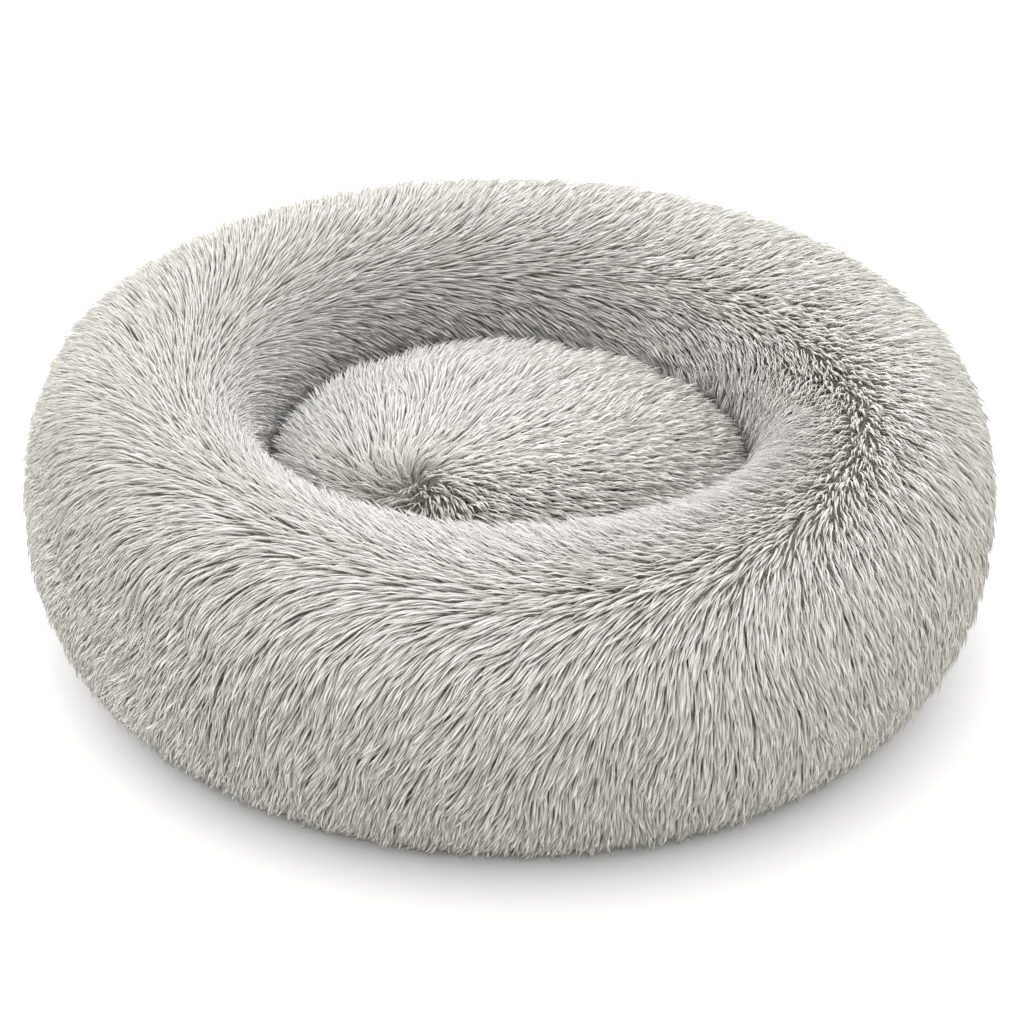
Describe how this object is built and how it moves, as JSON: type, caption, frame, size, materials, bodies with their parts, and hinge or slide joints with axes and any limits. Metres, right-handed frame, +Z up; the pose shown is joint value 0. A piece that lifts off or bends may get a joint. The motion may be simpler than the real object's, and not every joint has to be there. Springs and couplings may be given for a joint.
{
  "type": "round pet cushion bed",
  "caption": "Round faux-fur pet bed: a stuffed ring with a zipped, long-pile cover around a low well that holds a loose, domed round cushion.",
  "frame": {"origin": "middle of the underside, where the bed rests on the floor", "axes": "+Z up out of the well, -Y to the front, the zip is round the back"},
  "size_m": [0.588, 0.588, 0.192],
  "materials": {
    "faux_fur": "long-pile pale warm grey faux fur",
    "base_cloth": "plain-weave polyester cloth with small grip dots",
    "binding": "twill binding tape",
    "casing_cloth": "thin non-woven casing",
    "fibrefill": "polyester fibrefill",
    "zip_tape": "woven zip tape",
    "zip_coil": "nylon coil",
    "zip_metal": "satin nickel plate",
    "label": "blank satin label"
  },
  "bodies": {
    "ring": {"base_panel": "base_cloth", "base_binding": "binding", "well_seam_tape": "binding", "ring_fill": "fibrefill", "ring_casing": "casing_cloth", "ring_cover_back_right": "faux_fur", "ring_cover_back_left": "faux_fur", "ring_cover_front_left": "faux_fur", "ring_cover_front_right": "faux_fur", "zip_tape_upper": "zip_tape", "zip_tape_lower": "zip_tape", "zip_coil_upper": "zip_coil", "zip_coil_lower": "zip_coil", "zip_bottom_stop": "zip_metal", "zip_top_stop": "zip_metal", "care_label": "label"},
    "slider": {"zip_slider": "zip_metal"},
    "pull": {"zip_pull": "zip_metal"},
    "cushion": {"cushion_top_cover": "faux_fur", "cushion_bottom_cover": "base_cloth", "cushion_fill": "fibrefill", "cushion_piping": "binding"}
  },
  "joints": [
    {"name": "cushion_lift", "type": "slide", "parent": "ring", "child": "cushion", "axis": [0, 0, 1], "range_m": [0, 0.2]},
    {"name": "zip_travel", "type": "hinge", "parent": "ring", "child": "slider", "pos_m": [0, 0, 0.033], "axis": [0, 0, 1], "range_deg": [-102.4, 0]},
    {"name": "pull_swing", "type": "hinge", "parent": "slider", "child": "pull", "pos_m": [-0.22195, 0.17813, 0.033], "axis": [0.6259, 0.7799, 0], "range_deg": [0, 130]}
  ]
}
